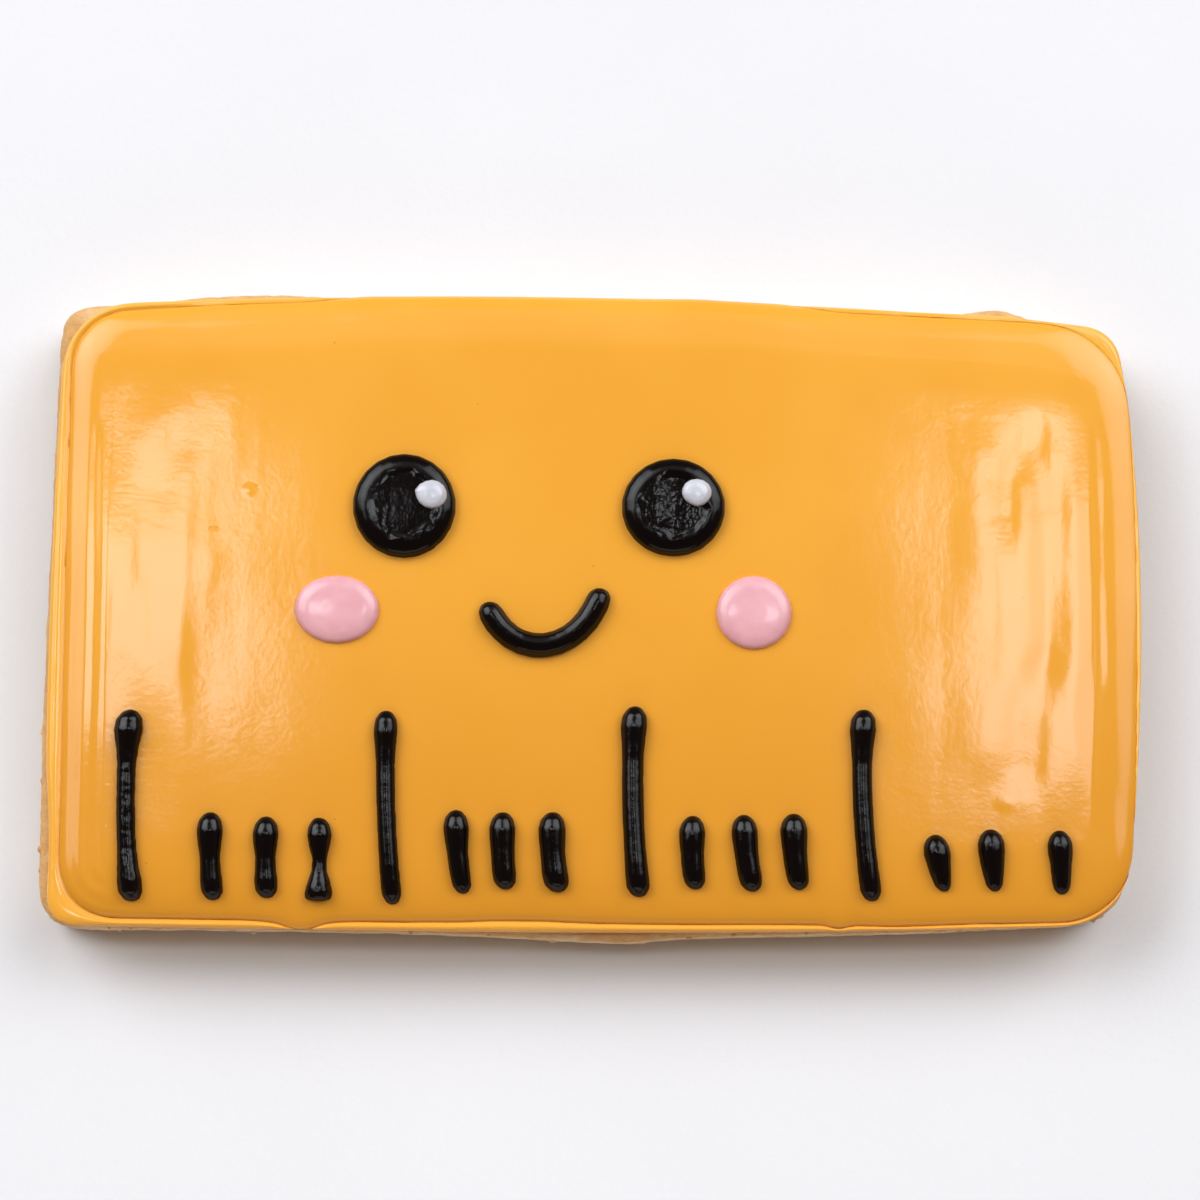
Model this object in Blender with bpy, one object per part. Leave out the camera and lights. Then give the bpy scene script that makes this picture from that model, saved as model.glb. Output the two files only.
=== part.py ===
"""A rectangular iced biscuit piped as a ruler with a simple smiling face.

The solids are drawn in millimetres and scaled to metres as they become
objects.  +Z is up, +X runs along the ruler to the right and +Y to its plain
edge.  The origin is under the middle of the biscuit, on the surface it
rests on.
"""
import math
from typing import NamedTuple

import bmesh
import bpy
from mathutils import Vector
from mathutils.bvhtree import BVHTree

MM = 0.001
GAP = 0.3  # clear space kept between two solids that lie on each other

# Heights, from the surface upwards
BISCUIT_TOP = 6.5
ICING_BASE = BISCUIT_TOP + GAP
BORDER_HEIGHT = 1.2
FLOOD_HEIGHT = 2.1
FLOOD_WALL = 0.7  # height at which the flood starts to turn over its edge
FLOOD_SHOULDER = 8.0  # how far in from its edge the flood has become level
SHOULDER_DROP = 3.0  # the higher, the sooner the shoulder levels out
SHOULDER_ROUNDING = 0.52  # the lower, the steeper the flood's very edge
SHOULDER_INSETS = (0.0, 0.2, 0.6, 1.2, 2.0, 3.0, 4.4, 6.0, FLOOD_SHOULDER)
CORNER_GROWTH = 0.4  # how much rounder the flood's corners get, going in

# Points round an outline: segments on the two long and two short sides
SIDE_STEPS = (22, 12, 22, 12)
CORNER_STEPS = 6
CORNER_HANDLE = 0.55  # Bezier handle that makes a corner nearly a true arc
SWELL_FADE = 2.0  # how far in from an edge its bulges die away

# Piped lines stand this high for their width
PIPING_RISE = 0.45


class Swell(NamedTuple):
    """A local bulge of an edge, or a dent where its rise is negative."""

    x: float
    y: float
    rise: float
    spread: float


class Outline(NamedTuple):
    """A four-sided outline, from the lower left corner anticlockwise."""

    corners: tuple  # the sharp corners, before rounding
    radii: tuple  # how far each corner is rounded back along its sides
    bows: tuple  # outward pull of each side a third and two thirds along
    swells: tuple = ()


BISCUIT_EDGE = Outline(
    corners=((-51.6, -29.0), (48.8, -28.3), (49.2, 27.1), (-50.6, 29.85)),
    radii=(2.8, 3.0, 2.4, 2.2),
    bows=((0.2, 2.6), (3.0, 3.0), (2.2, 2.0), (0.2, 0.4)),
    swells=(
        Swell(0.0, -30.0, 0.45, 9.0),
        Swell(2.0, -30.5, 0.3, 3.0),
        Swell(38.0, 29.0, 1.8, 4.0),
        Swell(-32.0, 30.3, 0.45, 6.0),
        Swell(-51.3, -9.0, 0.15, 4.0),
    ),
)

BORDER_EDGE = Outline(
    corners=((-50.5, -28.9), (48.9, -28.9), (49.2, 27.2), (-49.9, 29.5)),
    radii=(2.3, 5.5, 2.6, 6.0),
    bows=((0.6, 1.1), (2.2, 3.1), (2.6, 2.3), (0.6, 1.0)),
    swells=(
        Swell(-50.8, -20.5, -0.4, 4.0),
        Swell(10.0, 30.2, 0.15, 4.0),
        Swell(38.0, 28.6, 0.25, 4.0),
    ),
)

# Where the flood meets the border: level with it along the middle of the
# plain edge and the right end, stepped back at the corners and the ruled edge
FLOOD_EDGE = Outline(
    corners=((-49.3, -28.1), (49.4, -28.5), (49.6, 27.2), (-49.1, 28.5)),
    radii=(4.6, 6.0, 7.0, 4.5),
    bows=((0.3, 0.8), (0.9, 1.7), (1.3, 3.1), (0.1, 0.1)),
    swells=(
        Swell(-27.0, -29.0, 0.35, 2.5),
        Swell(-6.5, -28.3, -0.3, 5.0),
        Swell(28.0, -29.0, 0.25, 4.0),
    ),
)

# Inset and height of each ring of the biscuit's side, from the bottom up
BISCUIT_RINGS = (
    (1.0, 0.0),
    (0.35, 0.25),
    (0.05, 0.9),
    (0.0, 2.4),
    (0.1, 4.2),
    (0.25, 5.4),
    (0.6, 6.1),
    (1.3, BISCUIT_TOP),
)

# Border section: share of the way in from the edge to the flood, and share
# of the border's height, going round from the outer foot
BORDER_SECTION = (
    (0.18, 0.0),
    (0.0, 0.3),
    (0.03, 0.62),
    (0.28, 0.93),
    (0.6, 1.0),
    (0.9, 0.85),
    (1.0, 0.6),
    (1.0, 0.0),
)


class Tick(NamedTuple):
    """One piped ruler line, from its head down to its foot."""

    x: float  # middle of the head's end
    top: float
    length: float
    lean: float  # how far the foot's end lies to the right of the head's
    bow: float  # sideways pull of the middle
    head: float  # widths
    neck: float
    foot: float
    tail: float = 1.1  # how far the foot's rounded end reaches


LONG_TICKS = (
    Tick(-42.85, -9.1, 17.6, 0.35, -0.45, 2.6, 1.6, 2.2),
    Tick(-19.2, -9.2, 17.8, 0.7, -0.3, 2.1, 1.6, 1.7),
    Tick(3.8, -8.8, 17.5, 0.35, -0.4, 2.35, 1.85, 2.05),
    Tick(24.95, -9.1, 17.6, 0.6, -0.5, 2.35, 1.7, 1.85),
)

SHORT_TICKS = (
    Tick(-35.3, -18.6, 8.0, 0.3, -0.15, 2.3, 1.7, 1.95),
    Tick(-30.15, -19.0, 7.4, 0.1, -0.1, 2.25, 1.7, 2.05),
    Tick(-25.3, -19.1, 7.55, -0.05, 0.1, 2.15, 1.1, 2.5, 0.3),
    Tick(-12.7, -18.4, 7.6, 0.7, -0.2, 2.25, 1.8, 1.7),
    Tick(-8.4, -18.6, 7.0, 0.3, -0.15, 2.3, 2.05, 2.05),
    Tick(-3.8, -18.6, 7.25, 0.5, -0.25, 2.4, 2.15, 2.3),
    Tick(9.1, -18.95, 6.65, 0.25, -0.2, 2.3, 2.0, 1.95),
    Tick(13.8, -18.85, 6.95, 0.8, -0.2, 2.3, 2.05, 2.05),
    Tick(18.4, -18.75, 6.9, 0.5, -0.2, 2.4, 2.1, 1.95),
    Tick(31.4, -20.7, 5.1, 0.8, -0.15, 2.35, 2.05, 1.6),
    Tick(36.5, -20.2, 5.6, 0.35, -0.1, 2.4, 2.1, 1.6),
    Tick(42.8, -20.3, 5.8, 0.2, 0.0, 2.25, 1.85, 1.6),
)

HEAD_REACH = 1.6  # from a tick's top end down to its widest place
NECK_REACH = 4.6  # and down to its narrow neck, on a long tick
NECK_SHARE = 0.55  # a short tick's neck, as a share of its length
FOOT_REACH = 4.0  # length over which a tick widens to its foot


class Dome(NamedTuple):
    """A round dot of icing: flatter on top the higher its squareness."""

    x: float
    y: float
    width: float
    depth: float
    height: float
    squareness: float
    lobe: tuple = (0.0, 0.0, 1.0)  # direction in degrees, reach, spread


EYES = {
    "eye_left": Dome(-17.7, 10.05, 9.35, 9.6, 1.1, 3.2),
    "eye_right": Dome(7.4, 9.9, 9.4, 9.0, 1.1, 3.2),
}

GLINTS = {
    "glint_left": Dome(-15.05, 10.9, 2.75, 2.65, 0.5, 2.4, (165.0, 0.16, 25.0)),
    "glint_right": Dome(9.55, 11.1, 2.75, 2.45, 0.5, 2.4, (-85.0, 0.12, 20.0)),
}

CHEEKS = {
    "cheek_left": Dome(-23.85, 0.3, 7.8, 6.35, 0.55, 2.4, (150.0, 0.04, 35.0)),
    "cheek_right": Dome(14.85, 0.0, 7.0, 6.9, 0.55, 2.4),
}

# The smile hangs from its two ends on a curve that sags to the left
SMILE_LEFT = (-10.0, 0.9)
SMILE_RIGHT = (0.75, 2.2)
SMILE_PULLS = ((-8.0, -4.9), (-1.0, -4.3))
SMILE_WIDTH = 2.15
SMILE_CAP = 1.1


def side_point(start, end, bows, along):
    """Point on a bowed side, at a share of the way from start to end."""
    run = Vector(end) - Vector(start)
    outward = Vector((run.y, -run.x)).normalized()
    near = 3.0 * (1.0 - along) ** 2 * along * bows[0]
    far = 3.0 * (1.0 - along) * along**2 * bows[1]
    return Vector(start) + run * along + outward * (near + far)


def bezier(a, b, c, d, along):
    """Point on a cubic curve from a to d with the handles b and c."""
    back = 1.0 - along
    return a * back**3 + b * 3.0 * back**2 * along + c * 3.0 * back * along**2 + d * along**3


def stepped_in(corners, inset):
    """The corners moved towards the middle along both axes."""
    return [Vector((x - math.copysign(inset, x), y - math.copysign(inset, y))) for x, y in corners]


def swollen(points, swells, fade):
    """The points of a ring, pushed outwards by the bulges near them."""
    moved = []
    for i, point in enumerate(points):
        run = points[(i + 1) % len(points)] - points[i - 1]
        outward = Vector((run.y, -run.x)).normalized()
        push = 0.0
        for swell in swells:
            off = (point - Vector((swell.x, swell.y))).length / swell.spread
            push += swell.rise * math.exp(-off * off)
        moved.append(point + outward * push * fade)
    return moved


def trace(outline, inset=0.0, rounding=0.0):
    """Points round an outline, set in from it by a distance.

    Every call gives the same number of points in the same order, so that
    two rings can be joined point by point.
    """
    corners = stepped_in(outline.corners, inset)
    radii = [radius + rounding for radius in outline.radii]
    fade = math.exp(-inset / SWELL_FADE)
    points = []
    for side in range(4):
        start, end = corners[side], corners[(side + 1) % 4]
        length = (end - start).length
        first = radii[side] / length
        last = 1.0 - radii[(side + 1) % 4] / length
        steps = SIDE_STEPS[side]
        for step in range(steps):
            along = first + (last - first) * step / steps
            points.append(side_point(start, end, outline.bows[side], along))
        turn_in = side_point(start, end, outline.bows[side], last)
        after = corners[(side + 2) % 4]
        next_first = radii[(side + 1) % 4] / (after - end).length
        turn_out = side_point(end, after, outline.bows[(side + 1) % 4], next_first)
        handle_in = turn_in.lerp(end, CORNER_HANDLE)
        handle_out = turn_out.lerp(end, CORNER_HANDLE)
        for step in range(CORNER_STEPS):
            points.append(bezier(turn_in, handle_in, handle_out, turn_out, step / CORNER_STEPS))
    return swollen(points, outline.swells, fade)


def loft(bm, rings, closed_section=False):
    """Join rings of points with quads, and close the two ends or the loop."""
    rows = [[bm.verts.new(point) for point in ring] for ring in rings]
    count = len(rows[0])
    pairs = list(zip(rows, rows[1:]))
    if closed_section:
        pairs.append((rows[-1], rows[0]))
    for low, high in pairs:
        for i in range(count):
            j = (i + 1) % count
            bm.faces.new((low[i], low[j], high[j], high[i]))
    if not closed_section:
        bm.faces.new(rows[0])
        bm.faces.new(rows[-1])


def at_height(points, z):
    """Plan points lifted to a height."""
    return [Vector((point.x, point.y, z)) for point in points]


def biscuit_solid():
    """The baked slab, with a flat underside and soft edges."""
    bm = bmesh.new()
    loft(bm, [at_height(trace(BISCUIT_EDGE, inset), z) for inset, z in BISCUIT_RINGS])
    return bm


def border_solid():
    """The piped line of icing that dams the flood."""
    outer = trace(BORDER_EDGE)
    inner = trace(FLOOD_EDGE)
    bm = bmesh.new()
    rings = []
    for share, rise in BORDER_SECTION:
        plan = [far.lerp(near, share) for far, near in zip(outer, inner)]
        rings.append(at_height(plan, ICING_BASE + BORDER_HEIGHT * rise))
    loft(bm, rings, closed_section=True)
    return bm


def flood_height(inset):
    """Height of the flood's surface, at a distance in from its edge."""
    share = min(1.0, inset / FLOOD_SHOULDER)
    turn = (1.0 - (1.0 - share) ** SHOULDER_DROP) ** SHOULDER_ROUNDING
    return ICING_BASE + FLOOD_WALL + (FLOOD_HEIGHT - FLOOD_WALL) * turn


def flood_solid():
    """The poured icing: a level pool with a rounded shoulder."""
    bm = bmesh.new()
    rings = [at_height(trace(FLOOD_EDGE, GAP), ICING_BASE)]
    for inset in SHOULDER_INSETS:
        plan = trace(FLOOD_EDGE, GAP + inset, rounding=inset * CORNER_GROWTH)
        rings.append(at_height(plan, flood_height(inset)))
    loft(bm, rings)
    return bm


def surface_of(bm):
    """A search tree that finds the height of a solid's upper surface."""
    triangulated = bm.copy()
    bmesh.ops.triangulate(triangulated, faces=triangulated.faces)
    tree = BVHTree.FromBMesh(triangulated)
    triangulated.free()
    return tree


def rest_height(tree, x, y):
    """Height at which a mark rests above the surface, gap included."""
    hit = tree.ray_cast(Vector((x, y, 50.0)), Vector((0.0, 0.0, -1.0)))
    return hit[0].z + GAP


def dome_solid(dome, tree, around, up):
    """A ball pressed on to the surface below it, flat beneath."""
    bm = bmesh.new()
    bmesh.ops.create_uvsphere(bm, u_segments=around, v_segments=up, radius=1.0)
    direction, reach, spread = dome.lobe
    for vert in bm.verts:
        radius = min(1.0, math.hypot(vert.co.x, vert.co.y))
        turn = math.degrees(math.atan2(vert.co.y, vert.co.x)) - direction
        turn = (turn + 180.0) % 360.0 - 180.0
        stretch = 1.0 + reach * math.exp(-((turn / spread) ** 2))
        x = dome.x + vert.co.x * stretch * dome.width / 2.0
        y = dome.y + vert.co.y * stretch * dome.depth / 2.0
        rise = 0.0
        if vert.co.z > 0.0:
            power = dome.squareness
            rise = dome.height * max(0.0, 1.0 - radius**power) ** (1.0 / power)
        vert.co = (x, y, rest_height(tree, x, y) + rise)
    return bm


def blend(a, b, share):
    """Smooth change from a to b as share goes from 0 to 1."""
    share = min(1.0, max(0.0, share))
    return a + (b - a) * share * share * (3.0 - 2.0 * share)


def end_rounding(reach, cap):
    """Share of the full width, at a distance from a rounded end."""
    if reach >= cap:
        return 1.0
    return math.sqrt(max(0.0, 1.0 - (1.0 - reach / cap) ** 2))


def tick_width(tick, down):
    """Width of a tick at a distance down from its top end."""
    up = tick.length - down
    foot = tick.length - tick.tail
    neck_start = min(NECK_REACH, tick.length * NECK_SHARE)
    neck_end = max(neck_start, foot - FOOT_REACH)
    if down < neck_end:
        width = blend(tick.head, tick.neck, (down - HEAD_REACH) / (neck_start - HEAD_REACH))
    else:
        width = blend(tick.neck, tick.foot, (down - neck_end) / (foot - neck_end))
    return width * end_rounding(down, HEAD_REACH) * end_rounding(up, tick.tail)


def tick_station(tick, along):
    """Middle, sideways direction and width of a tick, part way down it."""
    x = tick.x + tick.lean * along + tick.bow * 4.0 * along * (1.0 - along)
    y = tick.top - tick.length * along
    return Vector((x, y)), Vector((1.0, 0.0)), tick_width(tick, tick.length * along)


def smile_station(along):
    """Middle, sideways direction and width of the smile, part way along."""
    ends = [Vector(point) for point in (SMILE_LEFT, *SMILE_PULLS, SMILE_RIGHT)]
    middle = bezier(*ends, along)
    ahead = bezier(*ends, along + 0.01) - bezier(*ends, along - 0.01)
    sideways = Vector((-ahead.y, ahead.x)).normalized()
    speed = ahead.length / 0.02
    width = SMILE_WIDTH * end_rounding(along * speed, SMILE_CAP)
    return middle, sideways, width * end_rounding((1.0 - along) * speed, SMILE_CAP)


def piped_solid(station, tree, around, lengths):
    """A ball drawn out along a line, with its underside laid on a surface."""
    bm = bmesh.new()
    bmesh.ops.create_uvsphere(bm, u_segments=around, v_segments=lengths, radius=1.0)
    for vert in bm.verts:
        middle, sideways, width = station((1.0 - vert.co.z) / 2.0)
        turn = math.atan2(vert.co.y, vert.co.x)
        plan = middle + sideways * (math.cos(turn) * width / 2.0)
        rise = max(0.0, math.sin(turn)) * width * PIPING_RISE
        vert.co = (plan.x, plan.y, rest_height(tree, plan.x, plan.y) + rise)
    bmesh.ops.remove_doubles(bm, verts=bm.verts, dist=0.0001)
    return bm


def make_material(name, colour, roughness):
    """A Principled material with one colour and roughness."""
    material = bpy.data.materials.new(name)
    material.use_nodes = True
    shader = material.node_tree.nodes["Principled BSDF"]
    shader.inputs["Base Color"].default_value = (*colour, 1.0)
    shader.inputs["Roughness"].default_value = roughness
    shader.inputs["Metallic"].default_value = 0.0
    return material


def make_object(bm, name, place, material, collection, parent):
    """An object at its place, from a solid drawn in millimetres."""
    bmesh.ops.recalc_face_normals(bm, faces=bm.faces)
    bmesh.ops.translate(bm, verts=bm.verts, vec=-Vector(place))
    bmesh.ops.scale(bm, verts=bm.verts, vec=(MM, MM, MM))
    mesh = bpy.data.meshes.new(name)
    bm.to_mesh(mesh)
    bm.free()
    mesh.shade_smooth()
    mesh.set_sharp_from_angle(angle=math.radians(50.0))
    mesh.materials.append(material)
    obj = bpy.data.objects.new(name, mesh)
    obj.location = Vector(place) * MM
    obj.parent = parent
    collection.objects.link(obj)
    return obj


def clear_scene():
    """Remove everything that the scene starts with."""
    for obj in list(bpy.data.objects):
        bpy.data.objects.remove(obj, do_unlink=True)


def build():
    """Make the biscuit, its icing and every mark on it."""
    clear_scene()
    collection = bpy.data.collections.new("ruler_cookie")
    bpy.context.scene.collection.children.link(collection)
    root = bpy.data.objects.new("cookie_base", None)
    collection.objects.link(root)

    baked = make_material("baked_biscuit", (0.58, 0.33, 0.14), 0.85)
    border_icing = make_material("yellow_border_icing", (0.83, 0.38, 0.05), 0.35)
    flood_icing = make_material("yellow_flood_icing", (0.90, 0.40, 0.05), 0.3)
    black = make_material("black_icing", (0.012, 0.006, 0.006), 0.35)
    white = make_material("white_icing", (0.80, 0.80, 0.84), 0.35)
    pink = make_material("pink_icing", (0.88, 0.43, 0.46), 0.3)

    def add(bm, name, place, material):
        make_object(bm, name, place, material, collection, root)

    add(biscuit_solid(), "biscuit", (0.0, 0.0, 0.0), baked)
    add(border_solid(), "icing_border", (0.0, 0.0, ICING_BASE), border_icing)
    flood = flood_solid()
    flood_top = surface_of(flood)
    add(flood, "icing_flood", (0.0, 0.0, ICING_BASE), flood_icing)

    mark_base = ICING_BASE + FLOOD_HEIGHT + GAP
    eye_tops = {}
    for name, dome in EYES.items():
        eye = dome_solid(dome, flood_top, around=22, up=10)
        eye_tops[name] = surface_of(eye)
        add(eye, name, (dome.x, dome.y, mark_base), black)
    for name, dome in GLINTS.items():
        eye_top = eye_tops[name.replace("glint", "eye")]
        glint = dome_solid(dome, eye_top, around=14, up=8)
        add(glint, name, (dome.x, dome.y, mark_base), white)
    for name, dome in CHEEKS.items():
        cheek = dome_solid(dome, flood_top, around=20, up=8)
        add(cheek, name, (dome.x, dome.y, mark_base), pink)

    smile = piped_solid(smile_station, flood_top, around=10, lengths=18)
    add(smile, "smile", (*SMILE_LEFT, mark_base), black)
    for kind, ticks, lengths in (("long", LONG_TICKS, 14), ("short", SHORT_TICKS, 10)):
        for number, tick in enumerate(ticks, start=1):
            solid = piped_solid(lambda along: tick_station(tick, along), flood_top, 10, lengths)
            add(solid, f"tick_{kind}_{number}", (tick.x, tick.top, mark_base), black)


build()
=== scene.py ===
"""Looks of a rectangular iced biscuit, piped as a ruler with a simple smiling face.

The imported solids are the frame.  Every one of them is stood for by a finer
piece of the same form: a baked slab with a crumbly crust, a piped border, a
poured flood of icing with the ripples it set with, and lines and dots that
were piped on it.  Sizes are written in millimetres and turned to metres where
a mesh is made.
"""

import logging
import math
from collections.abc import Callable, Iterator
from contextlib import contextmanager
from dataclasses import dataclass
from enum import Enum
from functools import cached_property

import bmesh
import bpy
import numpy as np
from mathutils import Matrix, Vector, noise
from mathutils.kdtree import KDTree


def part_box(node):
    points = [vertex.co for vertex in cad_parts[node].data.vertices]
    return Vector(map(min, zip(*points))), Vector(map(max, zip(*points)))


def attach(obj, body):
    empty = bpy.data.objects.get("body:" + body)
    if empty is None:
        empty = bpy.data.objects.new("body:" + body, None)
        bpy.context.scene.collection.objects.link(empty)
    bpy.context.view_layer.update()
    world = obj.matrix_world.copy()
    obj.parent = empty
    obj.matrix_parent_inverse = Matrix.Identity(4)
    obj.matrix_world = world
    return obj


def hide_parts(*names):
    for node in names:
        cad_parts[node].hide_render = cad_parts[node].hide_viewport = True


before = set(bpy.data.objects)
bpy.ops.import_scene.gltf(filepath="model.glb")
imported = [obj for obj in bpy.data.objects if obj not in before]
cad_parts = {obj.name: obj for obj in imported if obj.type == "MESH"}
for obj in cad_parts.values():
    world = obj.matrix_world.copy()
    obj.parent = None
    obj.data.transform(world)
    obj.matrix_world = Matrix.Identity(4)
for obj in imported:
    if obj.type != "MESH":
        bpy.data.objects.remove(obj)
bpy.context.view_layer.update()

MM = 0.001
WELD = 1e-6  # metres within which a copied solid's loose corners are merged
RIM_POINTS = 230  # round an outline, before it is subdivided
GRID_SPAN = 74  # of those, along one long side of the grid in the middle
RIM_LEVELS = 2
OUTLINE_POINTS = 1840

log = logging.getLogger("biscuit")


# Working by hand


def pick(obj: bpy.types.Object) -> None:
    """Make one object the only selected one, and the active one."""
    bpy.ops.object.select_all(action="DESELECT")
    obj.select_set(True)
    bpy.context.view_layer.objects.active = obj


@contextmanager
def editing(obj: bpy.types.Object) -> Iterator[None]:
    """Open an object in edit mode, with all of it selected, and close it after."""
    pick(obj)
    bpy.ops.object.mode_set(mode="EDIT")
    bpy.ops.mesh.select_all(action="SELECT")
    try:
        yield
    finally:
        bpy.ops.object.mode_set(mode="OBJECT")


def select_edges(obj: bpy.types.Object, wanted: Callable[[bmesh.types.BMEdge], bool]) -> None:
    """Select only the edges that a test picks out.

    Args:
        obj: The object open in edit mode.
        wanted: Says whether an edge belongs to the selection.
    """
    bpy.ops.mesh.select_mode(type="EDGE")
    bpy.ops.mesh.select_all(action="DESELECT")
    mesh = bmesh.from_edit_mesh(obj.data)
    for edge in mesh.edges:
        edge.select_set(wanted(edge))
    mesh.select_flush_mode()
    bmesh.update_edit_mesh(obj.data)


def finish_with(obj: bpy.types.Object, kind: str, **settings: object) -> None:
    """Put a modifier on an object and apply it.

    Args:
        obj: The object.
        kind: The modifier's type.
        **settings: Values of the modifier's properties.
    """
    pick(obj)
    modifier = obj.modifiers.new(kind.lower(), kind)
    for key, value in settings.items():
        setattr(modifier, key, value)
    bpy.ops.object.modifier_apply(modifier=modifier.name)


def subdivide(obj: bpy.types.Object, levels: int) -> None:
    """Smooth an object by subdivision, the same in the viewport and a render."""
    finish_with(obj, "SUBSURF", levels=levels, render_levels=levels)


def points_of(obj: bpy.types.Object) -> np.ndarray:
    """The object's vertices as an n x 3 array, in metres."""
    flat = np.empty(len(obj.data.vertices) * 3, np.float32)
    obj.data.vertices.foreach_get("co", flat)
    return flat.reshape(-1, 3).astype(float)


def set_points(obj: bpy.types.Object, points: np.ndarray) -> None:
    """Put the object's vertices where an n x 3 array says."""
    obj.data.vertices.foreach_set("co", points.astype(np.float32).ravel())
    obj.data.update()


def weight_group(obj: bpy.types.Object, name: str, weights: np.ndarray) -> str:
    """Store a weight for each vertex and return the group's name."""
    group = obj.vertex_groups.new(name=name)
    for index, weight in enumerate(weights):
        group.add([index], float(weight), "REPLACE")
    return group.name


def smooth_step(low: float, high: float, value: np.ndarray) -> np.ndarray:
    """Go smoothly from 0 below low to 1 above high."""
    share = np.clip((value - low) / (high - low), 0.0, 1.0)
    return share * share * (3.0 - 2.0 * share)


def wander(points: np.ndarray, sizes: tuple[float, ...], seed: float) -> np.ndarray:
    """Smooth random values between about -1 and 1.

    Args:
        points: Places, n x 2 or n x 3, in metres.
        sizes: Size of the lumps along each axis, in millimetres.
        seed: Chooses the pattern.

    Returns:
        One value for each place.
    """
    scaled = np.zeros((len(points), 3))
    for axis, size in enumerate(sizes):
        scaled[:, axis] = points[:, axis] / (size * MM)
    scaled[:, 2] += seed
    return np.array([noise.noise(Vector(place)) for place in scaled])


def copy_of(node: str, name: str) -> bpy.types.Object:
    """A free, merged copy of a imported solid."""
    obj = bpy.data.objects.new(name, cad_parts[node].data.copy())
    obj.data.name = name
    obj.data.materials.clear()
    bpy.context.scene.collection.objects.link(obj)
    with editing(obj):
        bpy.ops.mesh.remove_doubles(threshold=WELD)
    return obj


def dress(obj: bpy.types.Object, material: bpy.types.Material, sharp: float = 60.0) -> None:
    """Give a piece its finish, and shade it smooth but for its sharp edges."""
    obj.data.materials.clear()
    obj.data.materials.append(material)
    pick(obj)
    bpy.ops.object.shade_smooth_by_angle(angle=math.radians(sharp))


def hand_over(obj: bpy.types.Object, slot: str, *nodes: str) -> None:
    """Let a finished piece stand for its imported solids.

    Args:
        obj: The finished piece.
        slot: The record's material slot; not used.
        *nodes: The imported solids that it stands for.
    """
    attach(obj, "root")
    if nodes:
        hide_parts(*nodes)
    log.info("%s: %d faces", obj.name, len(obj.data.polygons))


# Outlines


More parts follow.
